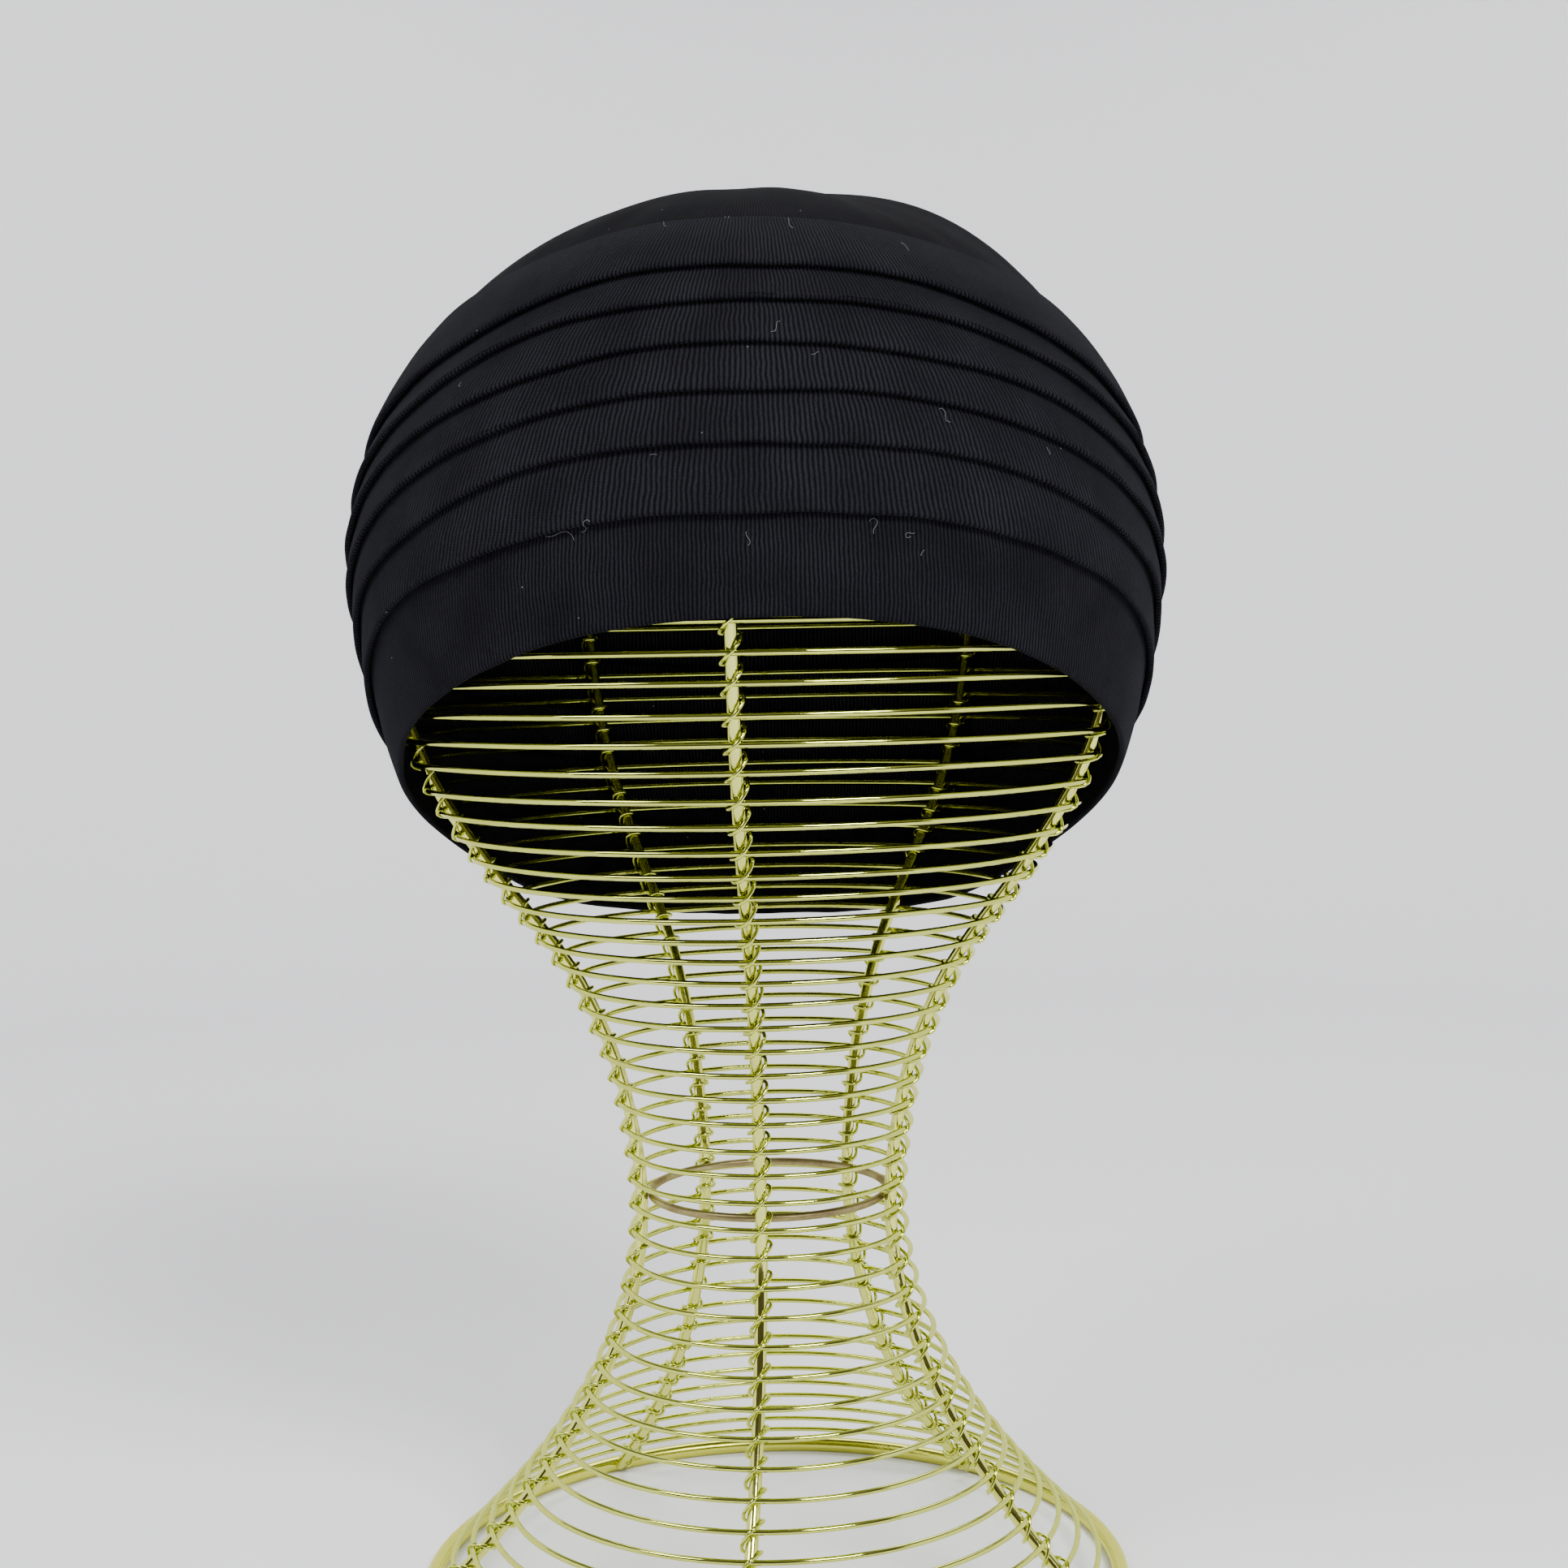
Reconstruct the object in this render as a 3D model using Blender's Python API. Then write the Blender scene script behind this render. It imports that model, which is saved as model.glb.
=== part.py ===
"""Pleated jersey turban worn by an hourglass wire hat stand.

Metres, +Z up, front at -Y, the floor at Z = 0 and the stand's axis on Z.
The cage of the stand is a profile turned about its axis. The turban hugs it, so every
tier of cloth is placed by a station on that profile and an offset out of it.
"""
from collections import namedtuple
from math import asin, cos, exp, hypot, pi, radians, sin

import bmesh
import bpy

# Wire stand
STAND_HEIGHT = 0.3370       # floor to the virtual apex of the cage
DOME_HEIGHT = 0.0850        # widest level to the apex
CAGE_RADIUS = 0.0925        # circle of the rods' centres at the widest level
NECK_HEIGHT = 0.0965        # floor to the waist
NECK_RING_HEIGHT = 0.0983   # floor to the ring inside the waist
NECK_RADIUS = 0.0318        # circle of the rods' centres at the waist
FOOT_RING_RADIUS = 0.086
FOOT_WIRE = 0.004           # diameter of the foot ring's wire
ROD_WIRE = 0.003            # diameter of the five upright rods
HOOP_WIRE = 0.0014          # diameter of the wire hoops
NECK_RING_WIRE = 0.002
TOP_RING_RADIUS = 0.014
SOLDER = 0.0003             # how far soldered wires run into each other
LASH_GAP = 0.0003           # air between a rod and the hoops that are lashed round it

# Bearings of the rods in degrees, which lean a little sideways between these levels
Rod = namedtuple("Rod", "foot neck head")
RODS = (
    Rod(-5.8, -3.0, -3.0),
    Rod(65.5, 69.5, 69.5),
    Rod(140.5, 140.5, 140.5),
    Rod(212.0, 212.0, 212.0),
    Rod(279.5, 279.5, 279.5),
)

# Hoops in the solids: every second one of the real hoops, fewer under the turban
FLARE_SPACES = 8            # foot ring to waist
HEAD_SPACES = 13            # waist to widest level
DOME_SPACES = 3             # widest level to top ring

# Turban
CLOTH = 0.001               # one wall of jersey
LAYER_GAP = 0.00035         # air between two overlapping tiers
SEAT_GAP = 0.0007           # air between the cloth and the hoops it rests on
CROWN_EASE = 0.0004         # the crown lies a little looser than the tiers
CROWN_DIP = 0.0002          # and dips where it comes out from under the last of them
PUFF = 0.0006               # how far a tier swells above its folded edge
PUFF_LEAN = 0.6             # below 1 the swelling lies nearer the folded edge
SLACK = 0.002               # how far the hem stands off the cage
ROLL = 0.0007               # drop of the rolled edge below its fold line
CLOTH_REACH = 0.006         # how far the fold lines stand off the cage
LIP_SHARE = 0.04            # shares of a tier's rise where its outside bends
BELLY_SHARE = 0.65
TUCK_SHARE = 0.3            # share of a tier's rise that hides the upper edge below it
TUCK_FILL = 0.9             # how deep the upper edge reaches into that cover
GATHER = 0.004              # rise of the largest soft fold of the crown
CROWN_LIFT = radians(8.0)   # stretch above the seam where the crown eases off the cage
TURN = radians(3.0)         # the turban is put on turned a little
TILT = 0.019                # and lower on its right, as a share of DOME_HEIGHT

# Rods between waist and widest level, as shares of the rise and of the flare
Rise = namedtuple("Rise", "height flare")
HEAD_RISE = (
    Rise(0.000, 0.000),
    Rise(0.100, 0.020),
    Rise(0.230, 0.092),
    Rise(0.355, 0.226),
    Rise(0.420, 0.331),
    Rise(0.548, 0.580),
    Rise(0.677, 0.787),
    Rise(0.806, 0.911),
    Rise(0.935, 0.984),
    Rise(1.000, 1.000),
)

# Fold lines from the hem up to the crown seam. Heights are shares of DOME_HEIGHT above
# the cage's widest level, at bearings every 30 degrees from the front to the back.
Fold = namedtuple("Fold", "slack front brow temple side ear nape back")
FOLDS = (
    Fold(1.00, -0.150, -0.218, -0.435, -0.705, -0.965, -1.053, -1.073),
    Fold(0.50, 0.097, 0.041, -0.153, -0.488, -0.741, -0.829, -0.859),
    Fold(0.15, 0.264, 0.212, 0.000, -0.335, -0.565, -0.647, -0.671),
    Fold(0.00, 0.392, 0.347, 0.153, -0.177, -0.400, -0.477, -0.500),
    Fold(0.00, 0.518, 0.464, 0.282, -0.018, -0.235, -0.311, -0.341),
    Fold(0.00, 0.635, 0.591, 0.400, 0.141, -0.077, -0.153, -0.182),
    Fold(0.00, 0.733, 0.692, 0.512, 0.294, 0.082, 0.006, -0.023),
    Fold(0.00, 0.878, 0.853, 0.747, 0.612, 0.482, 0.389, 0.353),
)
BEARING_STEP = pi / 6

# Soft folds of the crown, as bearings and spreads in degrees and shares of GATHER
Gather = namedtuple("Gather", "bearing spread rise")
CROWN_GATHERS = (
    Gather(-138.0, 20.0, 0.35),
    Gather(-92.0, 18.0, 0.35),
    Gather(-38.0, 14.0, 0.15),
    Gather(14.0, 15.0, 0.12),
    Gather(84.0, 24.0, 1.00),
    Gather(136.0, 17.0, 0.30),
    Gather(178.0, 16.0, 0.25),
)

TIER_NAMES = ("brow_band", "pleat_1", "pleat_2", "pleat_3", "pleat_4", "pleat_5", "pleat_6")

# Facets
AROUND_CLOTH = 32
AROUND_RING = 32
HOOP_CUTS = 4               # straight stretches of a hoop between two rods
CROWN_RINGS = 5
FOOT_SIDES = 8
ROD_SIDES = 5
HOOP_SIDES = 4
SHARP_EDGE = radians(40.0)
NORMAL_REACH = 0.004        # half the stretch of profile that gives a normal
PROFILE_CUTS = 200          # fine steps that measure the profile's length
LEVEL_STEPS = 4             # tries that bring a station under its level

WIDEST_HEIGHT = STAND_HEIGHT - DOME_HEIGHT
HEAD_HEIGHT = WIDEST_HEIGHT - NECK_HEIGHT
FOOT_HEIGHT = FOOT_WIRE / 2
FOOT_REACH = FOOT_RING_RADIUS - (FOOT_WIRE + ROD_WIRE) / 4
FOOT_STATION = (FOOT_HEIGHT - WIDEST_HEIGHT) / DOME_HEIGHT
NECK_STATION = (NECK_HEIGHT - WIDEST_HEIGHT) / DOME_HEIGHT
TOP_STATION = pi / 2 - asin(TOP_RING_RADIUS / CAGE_RADIUS)
WIRE_REACH = ROD_WIRE / 2 + LASH_GAP + HOOP_WIRE
STEP = CLOTH + LAYER_GAP
BED = WIRE_REACH + SEAT_GAP + CLOTH
CROWN_SEAM = len(FOLDS) - 1
LAST_TIER = CROWN_SEAM - 1


def cubic(before, start, end, after, share):
    """Catmull-Rom value between start and end."""
    bend = 2 * before - 5 * start + 4 * end - after
    twist = 3 * (start - end) + after - before
    return start + 0.5 * share * (end - before + share * (bend + share * twist))


def head_flare(height_share):
    """Share of the flare at a share of the rise from the waist."""
    last = len(HEAD_RISE) - 1
    row = 0
    while row < last - 1 and HEAD_RISE[row + 1].height < height_share:
        row += 1
    low, high = HEAD_RISE[row], HEAD_RISE[row + 1]
    share = (height_share - low.height) / (high.height - low.height)
    span = high.height - low.height
    slopes = []
    for middle in (row, row + 1):
        if middle in (0, last):
            slopes.append(0.0)
            continue
        under, over = HEAD_RISE[middle - 1], HEAD_RISE[middle + 1]
        slopes.append((over.flare - under.flare) / (over.height - under.height) * span)
    square, cube = share ** 2, share ** 3
    return (
        (2 * cube - 3 * square + 1) * low.flare
        + (cube - 2 * square + share) * slopes[0]
        + (3 * square - 2 * cube) * high.flare
        + (cube - square) * slopes[1]
    )


def cage_radius(height):
    """Radius of the rods' centres below the widest level."""
    if height >= NECK_HEIGHT:
        share = min(1.0, (height - NECK_HEIGHT) / HEAD_HEIGHT)
        return NECK_RADIUS + (CAGE_RADIUS - NECK_RADIUS) * head_flare(share)
    fall = (NECK_HEIGHT - height) / (NECK_HEIGHT - FOOT_HEIGHT)
    return NECK_RADIUS + (FOOT_REACH - NECK_RADIUS) * fall ** 2


def rod_bearing(rod, height):
    """A rod's bearing at a height, in radians."""
    if height < NECK_HEIGHT:
        start, end, share = rod.foot, rod.neck, height / NECK_HEIGHT
    else:
        start, end, share = rod.neck, rod.head, min(1.0, (height - NECK_HEIGHT) / HEAD_HEIGHT)
    return radians(start + (end - start) * share)


def on_cage(station):
    """Radius and height of the cage: an angle above the widest level, a share of
    DOME_HEIGHT below it."""
    if station > 0:
        return CAGE_RADIUS * cos(station), WIDEST_HEIGHT + DOME_HEIGHT * sin(station)
    height = WIDEST_HEIGHT + DOME_HEIGHT * station
    return cage_radius(height), height


def off_cage(station, offset):
    """Radius and height of a point that stands off the cage along its normal."""
    radius, height = on_cage(station)
    low_radius, low_height = on_cage(station - NORMAL_REACH)
    high_radius, high_height = on_cage(min(station + NORMAL_REACH, pi / 2))
    rise, spread = high_height - low_height, high_radius - low_radius
    length = hypot(rise, spread)
    return radius + offset * rise / length, height - offset * spread / length


def station_of(level):
    """Station under a point of the cloth at a level."""
    goal = WIDEST_HEIGHT + DOME_HEIGHT * level
    aim = level
    for _ in range(LEVEL_STEPS):
        aim += (goal - off_cage(clean_station(aim), CLOTH_REACH)[1]) / DOME_HEIGHT
    return clean_station(aim)


def clean_station(aim):
    return asin(min(1.0, aim)) if aim > 0 else aim


def fold_station(row, bearing):
    """Station of a fold line at a bearing from the turban's front."""
    levels = FOLDS[row][1:]
    last = len(levels) - 1
    place = abs((bearing + pi) % (2 * pi) - pi) / BEARING_STEP
    cell = min(int(place), last - 1)
    mirrored = [levels[abs(i) if i <= last else 2 * last - i] for i in range(cell - 1, cell + 3)]
    return station_of(cubic(*mirrored, place - cell) - TILT * sin(bearing + TURN))


def polar(radius, height, bearing):
    return radius * sin(bearing), -radius * cos(bearing), height


def tier_offset(row, share):
    """How far a tier's outside stands off the cage, from its fold to the next one."""
    row_slack = FOLDS[row].slack
    next_slack = FOLDS[min(row + 1, len(FOLDS) - 1)].slack
    slack = SLACK * (row_slack + (next_slack - row_slack) * share)
    if row == LAST_TIER:
        step = STEP
    else:
        step = STEP * (1 - share) * (row > 0)
    return BED + slack + step + PUFF * sin(pi * share ** PUFF_LEAN)


def tier_section(row, bearing):
    """Stations and offsets round one tier's section, up its outside and down its inside."""
    start = fold_station(row, bearing)
    end = fold_station(row + 1, bearing)
    reach = end - start
    bends = (LIP_SHARE, TUCK_SHARE, BELLY_SHARE)
    outside = [(start + reach * share, tier_offset(row, share)) for share in bends]
    roll = start - ROLL / DOME_HEIGHT
    section = [(roll, tier_offset(row, 0) - CLOTH / 2)] + outside
    section.append((end, tier_offset(row, 1)))
    inside = [(station, offset - CLOTH) for station, offset in section[:0:-1]]
    if row < LAST_TIER:
        del inside[1]
        cover = fold_station(row + 2, bearing) - end
        tuck = TUCK_SHARE * TUCK_FILL
        tucked = tier_offset(row + 1, tuck) - STEP
        section.append((end + cover * tuck, tucked))
        inside.insert(0, (end + cover * tuck, tucked - CLOTH))
    return section + inside


def add_loops(mesh, loops, closed):
    """Bridge neighbouring loops of points into a skin, last to first if closed."""
    rings = [[mesh.verts.new(point) for point in loop] for loop in loops]
    pairs = list(zip(rings, rings[1:]))
    if closed:
        pairs.append((rings[-1], rings[0]))
    for ring, other in pairs:
        count = len(ring)
        for i in range(count):
            j = (i + 1) % count
            mesh.faces.new((ring[i], ring[j], other[j], other[i]))
    return rings


def add_tube(mesh, path, axes, radius, sides, closed, flat_under=False):
    """Sweep a polygon along a path. axes gives each point's outward and side directions."""
    start = pi / sides if flat_under else 0.0
    size = radius / cos(pi / sides) if flat_under else radius
    loops = []
    for point, (outward, sideways) in zip(path, axes):
        loop = []
        for i in range(sides):
            angle = start + 2 * pi * i / sides
            push, slide = size * cos(angle), size * sin(angle)
            loop.append([p + o * push + s * slide for p, o, s in zip(point, outward, sideways)])
        loops.append(loop)
    rings = add_loops(mesh, loops, closed)
    if not closed:
        mesh.faces.new(rings[0][::-1])
        mesh.faces.new(rings[-1])


def add_ring(mesh, radius, height, wire, sides, bearings, flat_under=False):
    path = [polar(radius, height, bearing) for bearing in bearings]
    axes = [(polar(1.0, 0.0, bearing), (0.0, 0.0, 1.0)) for bearing in bearings]
    add_tube(mesh, path, axes, wire / 2, sides, True, flat_under)


def add_rod(mesh, rod):
    path = []
    axes = []
    for station in rod_stations():
        radius, height = on_cage(station)
        bearing = rod_bearing(rod, height)
        sideways = polar(1.0, 0.0, bearing + pi / 2)
        out_radius, out_height = off_cage(station, 1.0)
        path.append(polar(radius, height, bearing))
        axes.append((polar(out_radius - radius, out_height - height, bearing), sideways))
    add_tube(mesh, path, axes, ROD_WIRE / 2, ROD_SIDES, False)


def round_bearings(count):
    return [2 * pi * i / count for i in range(count)]


def hoop_bearings(height):
    """A hoop's corners: one over each rod and the rest evenly between."""
    rods = [rod_bearing(rod, height) for rod in RODS]
    bearings = []
    for start, end in zip(rods, rods[1:] + [rods[0] + 2 * pi]):
        bearings += [start + (end - start) * i / HOOP_CUTS for i in range(HOOP_CUTS)]
    return bearings


def even_stations(start, end, spaces):
    """Stations that cut the cage's profile into spaces of equal length."""
    step = (end - start) / PROFILE_CUTS
    stations = [start + step * i for i in range(PROFILE_CUTS + 1)]
    lengths = [0.0]
    for low, high in zip(stations, stations[1:]):
        radius, height = on_cage(low)
        next_radius, next_height = on_cage(high)
        lengths.append(lengths[-1] + hypot(next_radius - radius, next_height - height))
    cuts = []
    for i in range(spaces + 1):
        goal = lengths[-1] * i / spaces
        nearest = min(range(len(lengths)), key=lambda k: abs(lengths[k] - goal))
        cuts.append(stations[nearest])
    return cuts


def hoop_stations():
    flare = even_stations(FOOT_STATION, NECK_STATION, FLARE_SPACES)[1:]
    head = even_stations(NECK_STATION, 0.0, HEAD_SPACES)[1:]
    dome = even_stations(0.0, TOP_STATION, DOME_SPACES)[1:]
    return flare + head + dome


def rod_stations():
    """A rod bends at every hoop, so that it meets them all, and between those of the dome."""
    stations = [FOOT_STATION]
    for station in hoop_stations():
        if station > 0:
            stations.append((stations[-1] + station) / 2)
        stations.append(station)
    return stations


def finish(name, mesh, colour, roughness, metallic):
    """Turn a bmesh into a shaded object with its own material."""
    bmesh.ops.recalc_face_normals(mesh, faces=mesh.faces)
    data = bpy.data.meshes.new(name)
    mesh.to_mesh(data)
    mesh.free()
    data.shade_smooth()
    data.set_sharp_from_angle(angle=SHARP_EDGE)
    material = bpy.data.materials.new(name)
    material.use_nodes = True
    shader = material.node_tree.nodes["Principled BSDF"]
    shader.inputs["Base Color"].default_value = (*colour, 1.0)
    shader.inputs["Roughness"].default_value = roughness
    shader.inputs["Metallic"].default_value = metallic
    data.materials.append(material)
    piece = bpy.data.objects.new(name, data)
    bpy.context.scene.collection.objects.link(piece)
    return piece


def brass(name, mesh):
    return finish(name, mesh, (0.70, 0.66, 0.28), 0.25, 1.0)


def jersey(name, mesh):
    return finish(name, mesh, (0.012, 0.012, 0.016), 0.9, 0.0)


def wire_guide(name, mesh):
    """Wires that are soldered into the stand by a union, hidden as pieces of their own."""
    guide = brass(name, mesh)
    guide.hide_render = True
    guide.display_type = "WIRE"
    return guide


def make_stand():
    """The soldered wires: foot ring, rods, neck ring and top ring."""
    mesh = bmesh.new()
    around = round_bearings(AROUND_RING)
    add_ring(mesh, FOOT_RING_RADIUS, FOOT_HEIGHT, FOOT_WIRE, FOOT_SIDES, around, True)
    stand = brass("wire_stand", mesh)

    rods = bmesh.new()
    for rod in RODS:
        add_rod(rods, rod)

    rings = bmesh.new()
    inset = (ROD_WIRE + NECK_RING_WIRE) / 2 - 2 * SOLDER
    corners = hoop_bearings(NECK_RING_HEIGHT)
    add_ring(rings, NECK_RADIUS - inset, NECK_RING_HEIGHT, NECK_RING_WIRE, ROD_SIDES, corners)

    outset = (ROD_WIRE + HOOP_WIRE) / 2 - SOLDER
    radius, height = off_cage(TOP_STATION, outset)
    add_ring(rings, radius, height, HOOP_WIRE, HOOP_SIDES, hoop_bearings(WIDEST_HEIGHT))

    for name, wires in (("rods", rods), ("rings", rings)):
        union = stand.modifiers.new(name, "BOOLEAN")
        union.operation = "UNION"
        union.solver = "EXACT"
        union.object = wire_guide(name + "_guide", wires)


def make_hoops():
    """Closed hoops outside the rods, from the foot to the crown, lashed and not soldered."""
    outset = (ROD_WIRE + HOOP_WIRE) / 2 + LASH_GAP
    for i, station in enumerate(hoop_stations()[:-1]):
        mesh = bmesh.new()
        radius, height = off_cage(station, outset)
        corners = hoop_bearings(on_cage(station)[1])
        add_ring(mesh, radius, height, HOOP_WIRE, HOOP_SIDES, corners)
        brass("hoop_" + str(i + 1), mesh)


def make_tier(row):
    """One band of cloth, closed round its section and round the head."""
    mesh = bmesh.new()
    loops = []
    for i in range(AROUND_CLOTH):
        bearing = 2 * pi * i / AROUND_CLOTH
        section = tier_section(row, bearing)
        loops.append([polar(*off_cage(s, offset), bearing + TURN) for s, offset in section])
    add_loops(mesh, loops, True)
    jersey(TIER_NAMES[row], mesh)


def gather_rise(bearing, share):
    """Height of the crown's soft folds at a share of the way from its seam to its top."""
    total = 0.0
    for gather in CROWN_GATHERS:
        aside = (bearing - radians(gather.bearing) + pi) % (2 * pi) - pi
        total += gather.rise * exp(-(aside / radians(gather.spread)) ** 2)
    return GATHER * total * sin(pi * share) ** 2


def crown_offset(station, seam, bearing):
    """How far the crown's outside stands off the cage above its seam."""
    ease = CROWN_EASE * min(1.0, (station - seam) / CROWN_LIFT)
    return BED + ease + gather_rise(bearing, (station - seam) / (pi / 2 - seam))


def crown_section(bearing):
    """Outer rim-to-top points and inner rim-to-top points of the crown."""
    seam = fold_station(CROWN_SEAM, bearing)
    below = fold_station(LAST_TIER, bearing)
    rim = seam - (seam - below) * TUCK_SHARE
    rim_offset = tier_offset(LAST_TIER, 1 - TUCK_SHARE) - STEP
    outside = [(rim, rim_offset), (seam, BED - CROWN_DIP)]
    inside = [(station, offset - CLOTH) for station, offset in outside]
    top = pi / 2
    for i in range(1, CROWN_RINGS):
        station = seam + (top - seam) * (i / CROWN_RINGS)
        offset = crown_offset(station, seam, bearing)
        outside.append((station, offset))
        inside.append((station, offset - CLOTH))
    return outside, inside


def make_crown():
    mesh = bmesh.new()
    outer_loops = []
    inner_loops = []
    for i in range(AROUND_CLOTH):
        bearing = 2 * pi * i / AROUND_CLOTH
        outside, inside = crown_section(bearing)
        outer_loops.append([polar(*off_cage(s, o), bearing + TURN) for s, o in outside])
        inner_loops.append([polar(*off_cage(s, o), bearing + TURN) for s, o in inside])
    rows = list(zip(*inner_loops))[::-1] + list(zip(*outer_loops))
    rings = add_loops(mesh, rows, False)
    apex = WIDEST_HEIGHT + DOME_HEIGHT + BED + CROWN_EASE
    for ring, height in ((rings[0], apex - CLOTH), (rings[-1], apex)):
        pole = mesh.verts.new((0.0, 0.0, height))
        for i, corner in enumerate(ring):
            mesh.faces.new((corner, ring[(i + 1) % len(ring)], pole))
    jersey("crown_cap", mesh)


for old in list(bpy.data.objects):
    bpy.data.objects.remove(old, do_unlink=True)

make_stand()
make_hoops()
for tier in range(len(TIER_NAMES)):
    make_tier(tier)
make_crown()
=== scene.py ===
"""Looks of the pleated jersey turban on its hourglass wire stand.

Lengths are metres in the row's frame: +Z up, front at -Y. A point on the cloth or the
cage is given by a station on the cage's profile, an offset out of it and a bearing from
the front, as in the part's solids.
"""
from collections import namedtuple
from math import asin, cos, exp, hypot, pi, radians, sin
from random import Random

import bpy
from mathutils import Matrix, Vector, noise


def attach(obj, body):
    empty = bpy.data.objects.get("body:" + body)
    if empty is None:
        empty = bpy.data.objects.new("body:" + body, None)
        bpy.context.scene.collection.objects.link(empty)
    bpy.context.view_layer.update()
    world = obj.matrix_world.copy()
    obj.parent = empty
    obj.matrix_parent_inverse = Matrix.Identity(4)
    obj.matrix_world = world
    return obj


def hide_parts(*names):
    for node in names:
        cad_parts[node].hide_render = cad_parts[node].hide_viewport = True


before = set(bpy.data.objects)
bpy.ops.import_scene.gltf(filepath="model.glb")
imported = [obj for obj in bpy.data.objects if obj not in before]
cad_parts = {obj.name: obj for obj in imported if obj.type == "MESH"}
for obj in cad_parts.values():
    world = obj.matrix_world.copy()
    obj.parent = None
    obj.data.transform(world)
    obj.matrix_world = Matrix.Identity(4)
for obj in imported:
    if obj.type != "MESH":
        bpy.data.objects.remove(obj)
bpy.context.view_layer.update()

# Cage and cloth: the solids' sizes but for SEAT_GAP. The hoops touch the rods here, and the
# cloth lies 0.1 mm nearer the cage than in the solids
STAND_HEIGHT = 0.3370
DOME_HEIGHT = 0.0850
CAGE_RADIUS = 0.0925
NECK_HEIGHT = 0.0965
NECK_RING_HEIGHT = 0.0983
NECK_RADIUS = 0.0318
FOOT_RING_RADIUS = 0.086
FOOT_WIRE = 0.004
ROD_WIRE = 0.003
HOOP_WIRE = 0.0014
NECK_RING_WIRE = 0.002
TOP_RING_RADIUS = 0.014
CLOTH = 0.001
LAYER_GAP = 0.00035
SEAT_GAP = 0.0009
CROWN_EASE = 0.0004
PUFF = 0.0006
PUFF_LEAN = 0.6
SLACK = 0.002
ROLL = 0.0007
CLOTH_REACH = 0.006
TUCK_SHARE = 0.3
TUCK_FILL = 0.9
GATHER = 0.004
CROWN_LIFT = radians(8.0)
TURN = radians(3.0)
TILT = 0.019

# Unevenness of the cloth: of the fold lines in stations, of its surface in metres
FOLD_WAVE = 0.010
FOLD_RIPPLE = 0.0035
BROAD_SWELL = 0.00050
DRAWN_SWELL = 0.00014
CREASE_DEPTH = 0.0007
FINE_CREASE_DEPTH = 0.0001

# Bearings of the rods in degrees at these levels. Two rods lean a little below the neck
Rod = namedtuple("Rod", "foot neck head")
RODS = (
    Rod(-5.8, -3.0, -3.0),
    Rod(65.5, 69.5, 69.5),
    Rod(140.5, 140.5, 140.5),
    Rod(212.0, 212.0, 212.0),
    Rod(279.5, 279.5, 279.5),
)

Rise = namedtuple("Rise", "height flare")
HEAD_RISE = (
    Rise(0.000, 0.000),
    Rise(0.100, 0.020),
    Rise(0.230, 0.092),
    Rise(0.355, 0.226),
    Rise(0.420, 0.331),
    Rise(0.548, 0.580),
    Rise(0.677, 0.787),
    Rise(0.806, 0.911),
    Rise(0.935, 0.984),
    Rise(1.000, 1.000),
)

Fold = namedtuple("Fold", "slack front brow temple side ear nape back")
FOLDS = (
    Fold(1.00, -0.150, -0.218, -0.435, -0.705, -0.965, -1.053, -1.073),
    Fold(0.50, 0.097, 0.041, -0.153, -0.488, -0.741, -0.829, -0.859),
    Fold(0.15, 0.264, 0.212, 0.000, -0.335, -0.565, -0.647, -0.671),
    Fold(0.00, 0.392, 0.347, 0.153, -0.177, -0.400, -0.477, -0.500),
    Fold(0.00, 0.518, 0.464, 0.282, -0.018, -0.235, -0.311, -0.341),
    Fold(0.00, 0.635, 0.591, 0.400, 0.141, -0.077, -0.153, -0.182),
    Fold(0.00, 0.733, 0.692, 0.512, 0.294, 0.082, 0.006, -0.023),
    Fold(0.00, 0.878, 0.853, 0.747, 0.612, 0.482, 0.389, 0.353),
)
BEARING_STEP = pi / 6

Gather = namedtuple("Gather", "bearing spread rise")
CROWN_GATHERS = (
    Gather(-138.0, 20.0, 0.35),
    Gather(-92.0, 18.0, 0.35),
    Gather(-38.0, 14.0, 0.15),
    Gather(14.0, 15.0, 0.12),
    Gather(84.0, 24.0, 1.00),
    Gather(136.0, 17.0, 0.30),
    Gather(178.0, 16.0, 0.25),
)

# Hoops, all of them
FLARE_SPACES = 16
HEAD_SPACES = 26
DOME_SPACES = 19
SOLID_HOOPS = 23            # pieces that stand for them in the solids
BIND_WIRE = 0.0009          # thin wire that lashes the hoops to each rod
BIND_SIDE = 0.00235         # its reach beside a rod
BIND_BACK = 0.0021          # behind it
BIND_OVER = 0.0031          # and over a hoop
BIND_LEAN = 0.19            # share of the pitch by which a lashing leans over a hoop
HOOP_WANDER = 0.0035        # uneven rise of a bent hoop, in stations
HOOP_BITE = 0.00005         # overlap of a hoop and a rod

# Fineness
AROUND_CLOTH = 420
AROUND_HOOP = 90
AROUND_FOOT_RING = 160
AROUND_NECK_RING = 96
ROD_CUTS = 60
ROD_DOME_CUTS = 24
BIND_POINTS = 16
PROFILE_CUTS = 400
LEVEL_STEPS = 4

# Photo's camera: place, lens and tilts
CAMERA_PLACE = (0.0057, -0.55, 0.2329)
CAMERA_LENS = 51.24
CAMERA_PITCH = radians(90.0 - 3.494)
CAMERA_ROLL = radians(-1.115)

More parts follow.
